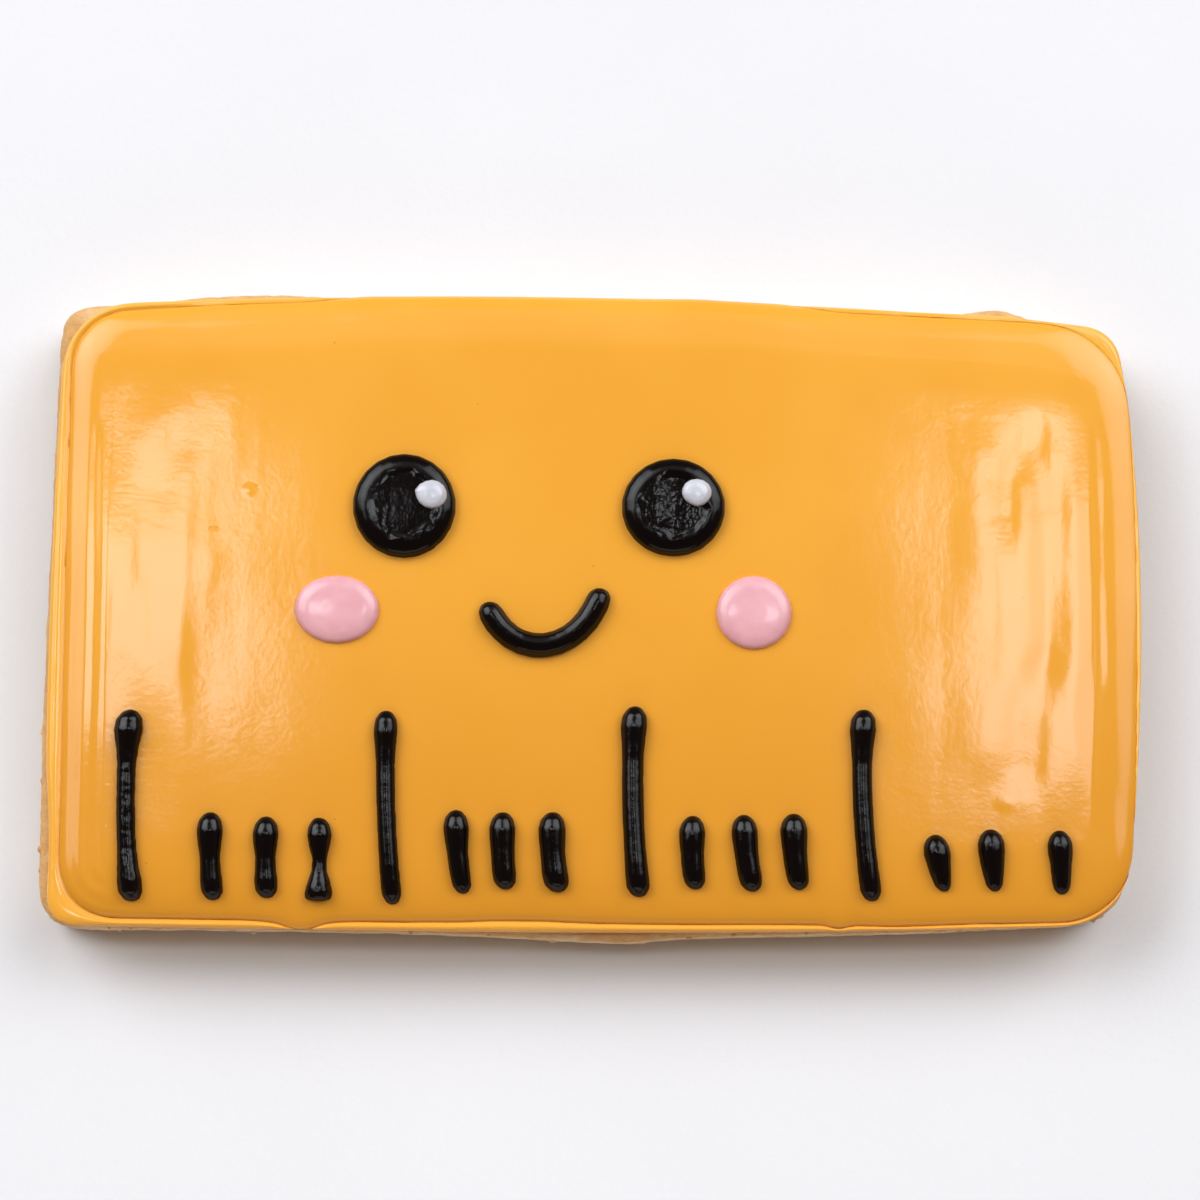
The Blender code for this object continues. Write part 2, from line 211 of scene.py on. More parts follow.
@dataclass(frozen=True)
class Outline:
    """A closed plan curve, anticlockwise, its points evenly spaced, in metres."""

    points: np.ndarray

    @classmethod
    def of_solid(cls, node: str, height: float, softening: float = 0.6) -> "Outline":
        """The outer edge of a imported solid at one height.

        Args:
            node: The solid's name.
            height: Where it is cut, in millimetres.
            softening: How far its facets are smoothed out, in millimetres.

        Returns:
            The smoothed outline.
        """
        cut = copy_of(node, "cut")
        with editing(cut):
            level = (0.0, 0.0, height * MM)
            bpy.ops.mesh.bisect(plane_co=level, plane_no=(0, 0, 1), clear_inner=True, clear_outer=True)
        loops = cls._loops(cut.data)
        bpy.data.objects.remove(cut)
        widest = max(loops, key=lambda loop: np.ptp(loop[:, 0]))
        following = np.roll(widest, -1, axis=0)
        if np.sum(widest[:, 0] * following[:, 1] - following[:, 0] * widest[:, 1]) < 0.0:
            widest = widest[::-1]
        return cls(cls._softened(cls._even(widest, OUTLINE_POINTS), softening))

    @staticmethod
    def _loops(mesh: bpy.types.Mesh) -> list[np.ndarray]:
        """The closed rings of edges that a cut leaves, as plan points."""
        links: dict[int, list[int]] = {}
        for edge in mesh.edges:
            first, second = edge.vertices
            links.setdefault(first, []).append(second)
            links.setdefault(second, []).append(first)
        loops = []
        while links:
            here = min(links)
            ring = []
            while here is not None:
                ring.append(mesh.vertices[here].co[:2])
                beside = links.pop(here)
                here = next((other for other in beside if other in links), None)
            loops.append(np.array(ring))
        return loops

    @staticmethod
    def _even(points: np.ndarray, count: int) -> np.ndarray:
        """A closed curve's points, spaced out evenly."""
        closed = np.vstack([points, points[:1]])
        steps = np.hypot(*np.diff(closed, axis=0).T)
        reached = np.concatenate([[0.0], np.cumsum(steps)])
        wanted = np.linspace(0.0, reached[-1], count, endpoint=False)
        return np.column_stack([np.interp(wanted, reached, closed[:, axis]) for axis in (0, 1)])

    @staticmethod
    def _softened(points: np.ndarray, softening: float) -> np.ndarray:
        """A closed curve with what is finer than the softening taken out."""
        plane = points[:, 0] + 1j * points[:, 1]
        spacing = np.abs(np.roll(plane, -1) - plane).mean()
        rates = np.fft.fftfreq(len(plane), d=spacing)
        damped = np.fft.fft(plane) * np.exp(-2.0 * (np.pi * rates * softening * MM) ** 2)
        soft = np.fft.ifft(damped)
        return np.column_stack([soft.real, soft.imag])

    @cached_property
    def outward(self) -> np.ndarray:
        """The outward direction at each point."""
        run = np.roll(self.points, -1, axis=0) - np.roll(self.points, 1, axis=0)
        run /= np.hypot(*run.T)[:, None]
        return np.column_stack([run[:, 1], -run[:, 0]])

    def pushed(self, distance: np.ndarray | float) -> "Outline":
        """The outline moved outwards, by one distance or one for each point, in metres."""
        push = np.broadcast_to(distance, len(self.points))[:, None]
        return Outline(self._softened(self.points + self.outward * push, 0.3))

    def drawn_in(self, places: np.ndarray, distance: float) -> np.ndarray:
        """Plan places near the outline, moved in square to it by a distance in metres."""
        return places - self.outward[self._nearest(places)] * distance

    def spaced(self, count: int) -> np.ndarray:
        """That many of the points, evenly spread."""
        return self.points[:: len(self.points) // count][:count]

    @cached_property
    def _tree(self) -> KDTree:
        """The points, sorted for finding the nearest one."""
        tree = KDTree(len(self.points))
        for index, point in enumerate(self.points):
            tree.insert((*point, 0.0), index)
        tree.balance()
        return tree

    def _nearest(self, places: np.ndarray) -> np.ndarray:
        """Number of the outline's point that lies nearest to each place."""
        return np.array([self._tree.find((x, y, 0.0))[1] for x, y in places[:, :2]])

    def inside(self, places: np.ndarray) -> np.ndarray:
        """How far inside the outline each place is, in metres; less than 0 outside it."""
        near = self._nearest(places)
        offset = places[:, :2] - self.points[near]
        return -np.sum(offset * self.outward[near], axis=1)


def ring_sheet(name: str, outline: Outline, steps: tuple[float, ...], height: float, fill: bool) -> bpy.types.Object:
    """A level sheet whose rings follow an outline.

    A circle is laid on the outline and inset ring by ring.  What is left in
    the middle is filled with a grid or cut out, and the whole is subdivided.

    Args:
        name: The piece's name.
        outline: The sheet's edge.
        steps: Width of each ring, from the edge in, in millimetres.
        height: The sheet's height, in metres.
        fill: Whether the middle is filled.

    Returns:
        The sheet, open at its edge.
    """
    bpy.ops.object.select_all(action="DESELECT")
    bpy.ops.mesh.primitive_circle_add(vertices=RIM_POINTS, fill_type="NGON")
    sheet = bpy.context.active_object
    sheet.name = sheet.data.name = name
    for vert, point in zip(sheet.data.vertices, outline.spaced(RIM_POINTS)):
        vert.co = (*point, height)
    with editing(sheet):
        for step in steps:
            bpy.ops.mesh.inset(thickness=step * MM)
        bpy.ops.mesh.delete(type="ONLY_FACE")
        if fill:
            select_edges(sheet, lambda edge: edge.is_boundary and edge.verts[0].index >= RIM_POINTS)
            bpy.ops.mesh.fill_grid(span=GRID_SPAN)
    subdivide(sheet, RIM_LEVELS)
    return sheet


def skirt(sheet: bpy.types.Object, outline: Outline, steps: tuple[tuple[float, float], ...]) -> None:
    """Extrude the selected edges of a sheet down along its outline.

    Args:
        sheet: The sheet, open in edit mode.
        outline: The sheet's edge.
        steps: Distance in from the edge and height of each new rim, in millimetres.
    """
    reached = 0.0
    for inset, height in steps:
        bpy.ops.mesh.extrude_edges_move()
        mesh = bmesh.from_edit_mesh(sheet.data)
        rim = [vert for vert in mesh.verts if vert.select]
        places = outline.drawn_in(np.array([vert.co[:2] for vert in rim]), (inset - reached) * MM)
        for vert, place in zip(rim, places):
            vert.co = (*place, height * MM)
        bmesh.update_edit_mesh(sheet.data)
        reached = inset


# Places and strokes, as a needle or the flow of the icing leaves them


@dataclass(frozen=True)
class Zone:
    """A plan rectangle in millimetres, with soft sides."""

    across: tuple[float, float]
    along: tuple[float, float]
    fade: float

    def weight(self, places: np.ndarray) -> np.ndarray:
        """1 for the places inside, and 0 for those well outside."""
        share = np.ones(len(places))
        for axis, (low, high) in enumerate((self.across, self.along)):
            share *= smooth_step((low - self.fade) * MM, low * MM, places[:, axis])
            share *= 1.0 - smooth_step(high * MM, (high + self.fade) * MM, places[:, axis])
        return share


@dataclass(frozen=True)
class Stroke:
    """A ridge in the icing, or a groove where its rise is negative."""

    path: tuple[tuple[float, float], ...]
    width: float
    rise: float
    fade: float = 2.0

    def relief(self, places: np.ndarray) -> np.ndarray:
        """The stroke's height at each plan place, in metres."""
        route = np.array(self.path) * MM
        if len(route) == 1:
            gap = np.hypot(*(places[:, :2] - route[0]).T)
            return self.rise * MM * np.exp(-((gap / (self.width * MM)) ** 2))
        best = np.full(len(places), np.inf)
        along = np.zeros(len(places))
        reached = 0.0
        for start, end in zip(route, route[1:]):
            run = end - start
            length = float(np.hypot(*run))
            share = np.clip(((places[:, :2] - start) @ run) / length**2, 0.0, 1.0)
            gap = np.hypot(*(places[:, :2] - start - share[:, None] * run).T)
            nearer = gap < best
            best = np.where(nearer, gap, best)
            along = np.where(nearer, reached + share * length, along)
            reached += length
        ends = np.minimum(along, reached - along) / (self.fade * MM)
        return self.rise * MM * np.exp(-((best / (self.width * MM)) ** 2)) * np.clip(ends, 0.0, 1.0)


# Finishes


class Slot(Enum):
    """The record's material slots."""

    BISCUIT = "biscuit"
    BORDER = "yellow_border_icing"
    FLOOD = "yellow_flood_icing"
    BLACK = "black_icing"
    WHITE = "white_icing"
    PINK = "pink_icing"


Colour = tuple[float, float, float]


class Graph:
    """One material's nodes, and the shader that they end in."""

    def __init__(self, name: str) -> None:
        """Start a material with a Principled shader and Object coordinates."""
        self.material = bpy.data.materials.new(name)
        self.material.use_nodes = True
        self.tree = self.material.node_tree
        self.shader = self.tree.nodes["Principled BSDF"]
        self.place = self.tree.nodes.new("ShaderNodeTexCoord").outputs["Object"]

    def set(self, **values: object) -> None:
        """Set constants on the shader's own sockets; an underscore stands for a space."""
        for key, value in values.items():
            self.shader.inputs[key.replace("_", " ")].default_value = value

    def add(self, kind: str, inputs: dict[str | int, object] | None = None, **settings: object) -> bpy.types.Node:
        """Add a node.

        Args:
            kind: The node's type, without its prefix.
            inputs: Values or output sockets for its inputs, by name or number.
            **settings: Values of its properties.

        Returns:
            The node.
        """
        node = self.tree.nodes.new("ShaderNode" + kind)
        for key, value in settings.items():
            setattr(node, key, value)
        for key, value in (inputs or {}).items():
            if isinstance(value, bpy.types.NodeSocket):
                self.tree.links.new(value, node.inputs[key])
            else:
                node.inputs[key].default_value = value
        return node

    def noise(self, size: float, detail: float = 3.0, rough: float = 0.55, place: object = None) -> object:
        """Noise with lumps of a size in millimetres, about 0.5 on average."""
        inputs = {"Vector": place or self.place, "Scale": 1.0 / (size * MM), "Detail": detail, "Roughness": rough}
        return self.add("TexNoise", inputs).outputs["Fac"]

    def spread(self, value: object, low: float, high: float) -> object:
        """Stretch a value so that low becomes 0 and high becomes 1."""
        inputs = {"Value": value, "From Min": low, "From Max": high}
        return self.add("MapRange", inputs, interpolation_type="SMOOTHSTEP").outputs["Result"]

    def sum(self, kind: str, first: object, second: object) -> object:
        """One step of arithmetic."""
        return self.add("Math", {0: first, 1: second}, operation=kind).outputs[0]

    def blend(self, factor: object, first: object, second: object) -> object:
        """Mix two colours."""
        node = self.add("Mix", {0: factor, 6: first, 7: second}, data_type="RGBA")
        return node.outputs[2]

    def bump(self, height: object, depth: float, after: object = None) -> object:
        """Turn a height into a normal, for relief of a depth in millimetres."""
        inputs = {"Height": height, "Distance": depth * MM, "Strength": 1.0}
        if after is not None:
            inputs["Normal"] = after
        return self.add("Bump", inputs).outputs["Normal"]

    def join(self, value: object, socket: str) -> None:
        """Lead an output to one of the shader's sockets."""
        self.tree.links.new(value, self.shader.inputs[socket])


def tint(colour: Colour) -> tuple[float, float, float, float]:
    """A colour with full opacity."""
    return (*colour, 1.0)


@dataclass(frozen=True)
class YellowIcing:
    """Poured or piped royal icing: smooth, satin, with tiny pores and specks, and with painted shade towards the
    front edge and round the black marks.
    """

    name: str
    colour: Colour = (0.80, 0.355, 0.034)
    shade: Colour = (0.78, 0.335, 0.028)
    painted_front_shade: Colour = (0.67, 0.27, 0.0195)  # painted shade, darker towards the front, ruled edge
    # painted contact shade round the black marks, with some of their colour bled in
    shade_and_bleed: Colour = (0.50, 0.21, 0.03)
    speck: Colour = (0.40, 0.15, 0.03)
    roughness: float = 0.5
    coat: float = 0.75
    coat_roughness: float = 0.085
    nicks: tuple[tuple[float, float, float, float], ...] = ()  # across, along, size and depth of each

    def material(self) -> bpy.types.Material:
        """Build the finish."""
        graph = Graph(self.name)
        patches = graph.spread(graph.noise(14.0, 2.0), 0.35, 0.65)
        body = graph.blend(patches, tint(self.colour), tint(self.shade))
        # Painted shade: the icing is coloured darker towards the front, ruled edge, where the light falls off.
        along = graph.add("SeparateXYZ", {0: graph.place}).outputs[1]
        body = graph.blend(graph.spread(along, 12.0 * MM, -29.0 * MM), body, tint(self.painted_front_shade))
        # Painted contact shade round the black marks, with some of their colour bled into the flood.
        foot_and_painted_shade = graph.add("Attribute", attribute_name="foot_and_painted_shade").outputs["Fac"]
        body = graph.blend(foot_and_painted_shade, body, tint(self.shade_and_bleed))
        cells = graph.add("TexVoronoi", {"Vector": graph.place, "Scale": 1.0 / (3.4 * MM)})
        chosen = graph.sum("GREATER_THAN", graph.add("SeparateColor", {0: cells.outputs["Color"]}).outputs[0], 0.72)
        dot = graph.sum("LESS_THAN", cells.outputs["Distance"], 0.028)
        specks = graph.sum("MULTIPLY", graph.sum("MULTIPLY", chosen, dot), 0.6)
        body = graph.blend(specks, body, tint(self.speck))
        graph.join(body, "Base Color")
        worn = graph.spread(graph.noise(5.0, 3.0), 0.3, 0.7)
        graph.join(graph.sum("ADD", graph.sum("MULTIPLY", worn, 0.1), self.roughness - 0.05), "Roughness")
        grain = graph.bump(graph.noise(0.35, 3.0), 0.005)
        swell = graph.bump(graph.noise(1.6, 2.0), 0.008, grain)
        for across, along, size, depth in self.nicks:
            spot = {0: graph.place, 1: (across * MM, along * MM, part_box("icing_flood")[1].z)}
            gap = graph.add("VectorMath", spot, operation="DISTANCE").outputs["Value"]
            swell = graph.bump(graph.spread(gap, 0.0, size * MM), depth, swell)
        graph.join(swell, "Normal")
        graph.tree.links.new(swell, graph.shader.inputs["Coat Normal"])
        graph.set(Coat_Weight=self.coat, Coat_Roughness=self.coat_roughness, Specular_IOR_Level=0.08)
        return graph.material


@dataclass(frozen=True)
class BlackIcing:
    """Black icing: wet-looking on its rims, crinkled and duller where it set last."""

    name: str
    colour: Colour = (0.0025, 0.0012, 0.001)
    thin: Colour = (0.028, 0.005, 0.003)
    crinkle: float = 0.012
    crinkle_size: float = 0.3
    roughness: float = 0.6
    coat: float = 0.45
    coat_roughness: float = 0.08

    def material(self) -> bpy.types.Material:
        """Build the finish."""
        graph = Graph(self.name)
        foot = graph.add("Attribute", attribute_name="foot_and_painted_shade").outputs["Fac"]
        graph.join(graph.blend(foot, tint(self.colour), tint(self.thin)), "Base Color")
        worn = graph.spread(graph.noise(0.8, 3.0), 0.35, 0.7)
        graph.join(graph.sum("ADD", graph.sum("MULTIPLY", worn, 0.2), self.roughness), "Roughness")
        fine = graph.bump(graph.noise(self.crinkle_size, 4.0, 0.65), self.crinkle)
        graph.join(fine, "Normal")
        graph.tree.links.new(fine, graph.shader.inputs["Coat Normal"])
        graph.set(Coat_Weight=self.coat, Coat_Roughness=self.coat_roughness, Specular_IOR_Level=0.01)
        return graph.material


@dataclass(frozen=True)
class PaleIcing:
    """A dot of white or pink icing, softly translucent."""

    name: str
    colour: Colour
    shade: Colour
    roughness: float = 0.35
    coat: float = 0.7
    coat_roughness: float = 0.14

    def material(self) -> bpy.types.Material:
        """Build the finish."""
        graph = Graph(self.name)
        cloud = graph.spread(graph.noise(2.2, 2.0), 0.35, 0.65)
        graph.join(graph.blend(cloud, tint(self.colour), tint(self.shade)), "Base Color")
        soft = graph.bump(graph.noise(0.7, 3.0), 0.01)
        graph.join(soft, "Normal")
        graph.tree.links.new(soft, graph.shader.inputs["Coat Normal"])
        graph.set(Coat_Weight=self.coat, Coat_Roughness=self.coat_roughness, Roughness=self.roughness)
        graph.set(Specular_IOR_Level=0.1)
        return graph.material


@dataclass(frozen=True)
class BakedCrust:
    """Baked sugar biscuit: pale crumb in its side, toasted at its edges."""

    name: str
    crumb: Colour = (0.88, 0.67, 0.42)
    toast: Colour = (0.70, 0.40, 0.155)
    dark: Colour = (0.38, 0.18, 0.06)
    top: float = 6.5

    def material(self) -> bpy.types.Material:
        """Build the finish."""
        graph = Graph(self.name)
        height = graph.add("SeparateXYZ", {0: graph.place}).outputs[2]
        above = graph.spread(height, (self.top - 2.2) * MM, (self.top - 0.6) * MM)
        below = graph.spread(height, 1.3 * MM, 0.2 * MM)
        edges = graph.sum("MAXIMUM", above, below)
        patches = graph.spread(graph.noise(5.0, 4.0), 0.3, 0.7)
        baked = graph.sum("MULTIPLY", graph.sum("ADD", edges, 0.25), graph.sum("ADD", patches, 0.45))
        body = graph.blend(graph.spread(baked, 0.1, 0.95), tint(self.crumb), tint(self.toast))
        grains = graph.spread(graph.noise(1.1, 8.0, 0.8), 0.72, 0.3)
        body = graph.blend(graph.sum("MULTIPLY", grains, 0.42), body, tint(self.dark))
        graph.join(body, "Base Color")
        crumbs = graph.bump(graph.noise(0.9, 5.0, 0.65), 0.22)
        fine = graph.bump(graph.noise(0.22, 3.0, 0.6), 0.07, crumbs)
        graph.join(fine, "Normal")
        graph.set(Roughness=0.85, Specular_IOR_Level=0.25)
        return graph.material


@dataclass(frozen=True)
class PaperFloor:
    """Plain pale card with a faint grain."""

    name: str = "pale_card"
    colour: Colour = (0.76, 0.745, 0.755)

    def material(self) -> bpy.types.Material:
        """Build the finish."""
        graph = Graph(self.name)
        clouds = graph.spread(graph.noise(45.0, 3.0), 0.3, 0.7)
        darker = tuple(0.98 * part for part in self.colour)
        graph.join(graph.blend(clouds, tint(self.colour), tint(darker)), "Base Color")
        graph.join(graph.bump(graph.noise(0.8, 3.0, 0.6), 0.03), "Normal")
        graph.set(Roughness=0.8, Specular_IOR_Level=0.2)
        return graph.material


# The biscuit


@dataclass
class Slab:
    """The baked biscuit under the icing, with crumbs that cling to its edges."""

    foot_rounding: float = 0.95
    top_rounding: float = 1.25
    lump: float = 0.22
    grain: float = 0.12
    sliver: Zone = Zone((-38.0, -27.0), (20.0, 40.0), 4.0)
    sliver_width: float = 0.35
    crumb_count: int = 50
    seed: int = 7
    rim_points: int = 184  # coarser than the icing, which hides most of it
    grid_span: int = 59

    def make(self) -> None:
        """Model and dress the slab and its crumbs."""
        crust = BakedCrust("baked_crust").material()
        slab = self.model_slab()
        dress(slab, crust)
        hand_over(slab, Slot.BISCUIT.value, "biscuit")
        crumbs = self.model_crumbs(slab)
        dress(crumbs, crust)
        hand_over(crumbs, Slot.BISCUIT.value)

    def model_slab(self) -> bpy.types.Object:
        """Lift the cut shape to its thickness, round its edges and roughen it."""
        low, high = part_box("biscuit")
        outline = Outline.of_solid("biscuit", 2.4)
        outline = outline.pushed(self.sliver.weight(outline.points) * self.sliver_width * MM)
        bpy.ops.object.select_all(action="DESELECT")
        bpy.ops.mesh.primitive_circle_add(vertices=self.rim_points, fill_type="NGON")
        slab = bpy.context.active_object
        slab.name = slab.data.name = "baked_slab"
        for vert, point in zip(slab.data.vertices, outline.spaced(self.rim_points)):
            vert.co = (*point, low.z)
        thickness = high.z - low.z
        with editing(slab):
            bpy.ops.mesh.extrude_region_move(TRANSFORM_OT_translate={"value": (0.0, 0.0, thickness)})
            for level, rounding in ((low.z, self.foot_rounding), (high.z, self.top_rounding)):
                select_edges(slab, lambda edge: all(abs(vert.co.z - level) < WELD for vert in edge.verts))
                bpy.ops.mesh.bevel(offset=rounding * MM, segments=3, profile=0.5, affect="EDGES")
            upright = thickness / 3.0
            select_edges(slab, lambda edge: abs(edge.verts[0].co.z - edge.verts[1].co.z) > upright)
            bpy.ops.mesh.subdivide(number_cuts=2)
            self.grid_over(slab, low.z)
            self.grid_over(slab, high.z)
            bpy.ops.mesh.select_all(action="SELECT")
            bpy.ops.mesh.normals_make_consistent(inside=False)
        subdivide(slab, RIM_LEVELS)
        points = points_of(slab)
        crust = weight_group(slab, "crust", smooth_step(0.1 * MM, 0.7 * MM, points[:, 2] - low.z))
        lumps = bpy.data.textures.new("crust_lumps", "CLOUDS")
        lumps.noise_scale = 3.2 * MM
        lumps.noise_depth = 3
        finish_with(slab, "DISPLACE", texture=lumps, vertex_group=crust, strength=self.lump * MM, mid_level=0.5)
        grain = bpy.data.textures.new("crust_grain", "STUCCI")
        grain.noise_scale = 0.75 * MM
        grain.turbulence = 8.0
        finish_with(slab, "DISPLACE", texture=grain, vertex_group=crust, strength=self.grain * MM, mid_level=0.6)
        slab.vertex_groups.clear()
        return slab

    def grid_over(self, slab: bpy.types.Object, level: float) -> None:
        """Turn the one big face at a height into a grid, which subdivides evenly."""
        bpy.ops.mesh.select_mode(type="FACE")
        bpy.ops.mesh.select_all(action="DESELECT")
        mesh = bmesh.from_edit_mesh(slab.data)
        for face in mesh.faces:
            at_level = abs(face.calc_center_median().z - level) < WELD
            face.select_set(at_level and len(face.verts) == self.rim_points)
        bmesh.update_edit_mesh(slab.data)
        bpy.ops.mesh.delete(type="ONLY_FACE")
        select_edges(slab, lambda edge: edge.is_boundary)
        bpy.ops.mesh.fill_grid(span=self.grid_span)

    def model_crumbs(self, slab: bpy.types.Object) -> bpy.types.Object:
        """Scatter small crumbs over the slab's upper rim and side."""
        bpy.ops.object.select_all(action="DESELECT")
        bpy.ops.mesh.primitive_ico_sphere_add(subdivisions=2, radius=0.5 * MM)
        crumb = bpy.context.active_object
        dents = bpy.data.textures.new("crumb_dents", "CLOUDS")
        dents.noise_scale = 0.5 * MM
        finish_with(crumb, "DISPLACE", texture=dents, strength=0.45 * MM, mid_level=0.5)
        shape = points_of(crumb)
        rng = np.random.default_rng(self.seed)
        points = points_of(slab)
        normals = np.array([vert.normal for vert in slab.data.vertices])
        open_side = (points[:, 2] > 1.0 * MM) & (points[:, 2] < 6.2 * MM) & (points[:, 1] < -6.0 * MM)
        free = np.flatnonzero(open_side & (normals[:, 2] < 0.75))
        chance = 0.3 + smooth_step(4.0 * MM, 6.0 * MM, points[free, 2])
        chance /= chance.sum()
        copies = []
        for spot in rng.choice(free, self.crumb_count, replace=False, p=chance):
            grown = shape * rng.uniform(0.35, 1.0, 3)
            spun = np.array(Vector(rng.normal(size=3)).normalized().to_track_quat("Z", "Y").to_matrix())
            copy = crumb.copy()
            copy.data = crumb.data.copy()
            bpy.context.scene.collection.objects.link(copy)
            set_points(copy, grown @ spun.T + points[spot] - normals[spot] * 0.15 * MM)
            copies.append(copy)
        bpy.data.objects.remove(crumb)
        pick(copies[0])
        for copy in copies:
            copy.select_set(True)
        bpy.ops.object.join()
        joined = bpy.context.active_object
        joined.name = joined.data.name = "clinging_crumbs"
        return joined


# The yellow icing


@dataclass
class Icing:
    """The piped border and the flood that was poured inside it."""

    wall: float = 0.92
    flush_wall: float = 1.12
    spilt_wall: float = 0.35
    shoulder: float = 8.0
    drop: float = 3.0
    rounding: float = 0.52
    flush_rounding: float = 0.85
    settle: int = 26
    touch: float = 0.36
    overhang: float = 0.1
    spill: Zone = Zone((-21.0, 17.0), (15.0, 40.0), 7.0)
    flush: tuple[Zone, ...] = (Zone((40.0, 60.0), (-16.0, 40.0), 6.0), Zone((-36.0, 60.0), (22.0, 40.0), 6.0))
    drips: tuple[tuple[float, float, float], ...] = ((-26.9, 1.7, 0.8), (22.5, 0.9, 0.35))
    nicks: tuple[tuple[float, float, float, float], ...] = (
        (-32.2, 11.6, 0.8, -0.03), (-31.5, 11.8, 0.35, 0.03), (-35.7, 7.9, 0.3, 0.035), (-35.15, 7.9, 0.3, 0.035),
    )
    ripple_height: float = 0.03
    ripple_spacing: float = 1.55
    border_profile: tuple[tuple[float, float], ...] = (
        (0.0, 0.3), (0.03, 0.62), (0.12, 0.82), (0.28, 0.94), (0.45, 1.0), (0.65, 0.98), (0.85, 0.9), (1.0, 0.8),
    )
    strokes: tuple[Stroke, ...] = (
        Stroke(((-35.43, 7.2), (-35.3, 2.5)), 0.8, 0.012),
        Stroke(((-34.5, 23.0),), 6.5, 0.12),
        Stroke(((-35.6, 19.8), (-38.0, 17.2), (-40.0, 13.9), (-41.0, 10.1), (-41.2, 6.5)), 2.2, -0.05, 5.0),
        Stroke(((42.3, 18.8), (40.2, 15.1), (38.7, 12.2), (38.4, 5.0)), 1.7, -0.07, 4.0),
        Stroke(((42.3, 15.0), (42.4, 2.0), (42.3, -10.0)), 1.6, -0.07, 5.0),
        Stroke(((46.9, 19.0), (47.0, -8.0)), 0.55, -0.04, 4.0),
        Stroke(((41.6, -2.5), (39.6, -9.0), (39.3, -17.5)), 1.5, -0.06, 3.0),
        Stroke(((35.8, 18.0), (36.2, -16.0)), 2.3, 0.03, 3.0),
        Stroke(((36.8, -17.5), (38.9, -17.9)), 0.45, 0.022, 0.6),
    )

    def make(self) -> bpy.types.Object:
        """Model and dress both; the flood is returned, for the marks to lie on."""
        self.edge = Outline.of_solid("icing_border", 7.16)
        inner = Outline.of_solid("icing_flood", 7.2)
        self.pool = inner.pushed(self.reach(inner))
        border = self.model_border()
        # The border's colours carry the same painted shade towards the front edge.
        paler = {"colour": (0.83, 0.41, 0.05), "shade": (0.81, 0.39, 0.044), "painted_front_shade": (0.80, 0.36, 0.038)}
        dress(border, YellowIcing("border_icing", **paler).material())
        hand_over(border, Slot.BORDER.value, "icing_border")
        flood = self.model_flood()
        dress(flood, YellowIcing("flood_icing", nicks=self.nicks).material())
        hand_over(flood, Slot.FLOOD.value, "icing_flood")
        return flood

    def reach(self, inner: Outline) -> np.ndarray:
        """How far the poured flood runs out past its packed edge, in metres.

        Args:
            inner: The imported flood's edge.

        Returns:
            A distance for each point: up to the border, or over it where the flood spilt.
        """
        places = inner.points
        room = self.edge.inside(places)
        over = self.spill.weight(places)
        run = self.touch * MM + over * np.maximum(room - (self.touch - self.overhang) * MM, 0.0)
        for across, width, length in self.drips:
            beside = (places[:, 0] - across * MM) / (width * MM)
            run += np.where(places[:, 1] < 0.0, length * MM * np.exp(-(beside**2)), 0.0)
        return run

    def flushness(self, places: np.ndarray) -> np.ndarray:
        """How nearly level the flood lies with its border at each plan place."""
        return np.max([zone.weight(places) for zone in self.flush], axis=0)

    def flood_level(self, places: np.ndarray, inset: np.ndarray) -> np.ndarray:
        """Height of the flood before it is rippled, in metres.

        Args:
            places: Plan places.
            inset: How far each lies in from the flood's edge.

        Returns:
            A height for each place.
        """
        low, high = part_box("icing_flood")
        flush, spilt = self.flushness(places), self.spill.weight(places)
        wall = self.wall + (self.flush_wall - self.wall) * flush
        wall += (self.spilt_wall - wall) * spilt
        share = np.clip(inset / (self.shoulder * MM), 0.0, 1.0)
        rounding = self.rounding + (self.flush_rounding - self.rounding) * flush * (1.0 - spilt)
        turn = (1.0 - (1.0 - share) ** self.drop) ** rounding
        return low.z + wall * MM + (high.z - low.z - wall * MM) * turn

    def model_border(self) -> bpy.types.Object:
        """Shape the ledge of icing round the flood."""
        low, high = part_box("icing_border")
        steps = (0.12, 0.2, 0.3, 0.4, 0.5, 0.6, 0.7)
        border = ring_sheet("piped_border", self.edge, steps, high.z, fill=False)
        points = points_of(border)
        out = np.maximum(self.edge.inside(points), 0.0)
        under = self.pool.inside(points)
        share = out / np.maximum(out + np.maximum(-under, 0.0), WELD)
        profile = np.array(self.border_profile)
        rise = np.interp(share, profile[:, 0], profile[:, 1])
        lift = self.flushness(points) * 0.15
        rise += lift * smooth_step(0.6, 1.0, share)
        uneven = 0.05 * MM * wander(points, (4.0, 4.0), 3.0)
        meeting = self.flood_level(points, np.zeros(len(points))) - low.z
        points[:, 2] = low.z + meeting * rise / (profile[-1, 1] + lift) + uneven * smooth_step(0.3, 0.8, rise)
        covered = self.flood_level(points, under) - 0.12 * MM
        points[:, 2] = np.where(under > 0.0, np.minimum(points[:, 2], covered), points[:, 2])
        set_points(border, points)
        feet = ((0.04, 6.85), (0.3, 6.5), (1.5, 6.1))
        with editing(border):
            half = sum(steps) / 2.0 * MM
            select_edges(border, lambda edge: edge.is_boundary and self.is_out(edge, half))
            skirt(border, self.edge, feet)
            select_edges(border, lambda edge: edge.is_boundary)
            bpy.ops.mesh.bridge_edge_loops()
            bpy.ops.mesh.select_all(action="SELECT")
            bpy.ops.mesh.normals_make_consistent(inside=False)
        return border

    def is_out(self, edge: bmesh.types.BMEdge, depth: float) -> bool:
        """Whether an edge lies near the icing's outer rim."""
        middle = (edge.verts[0].co + edge.verts[1].co) / 2.0
        return float(self.edge.inside(np.array([middle[:2]]))[0]) < depth

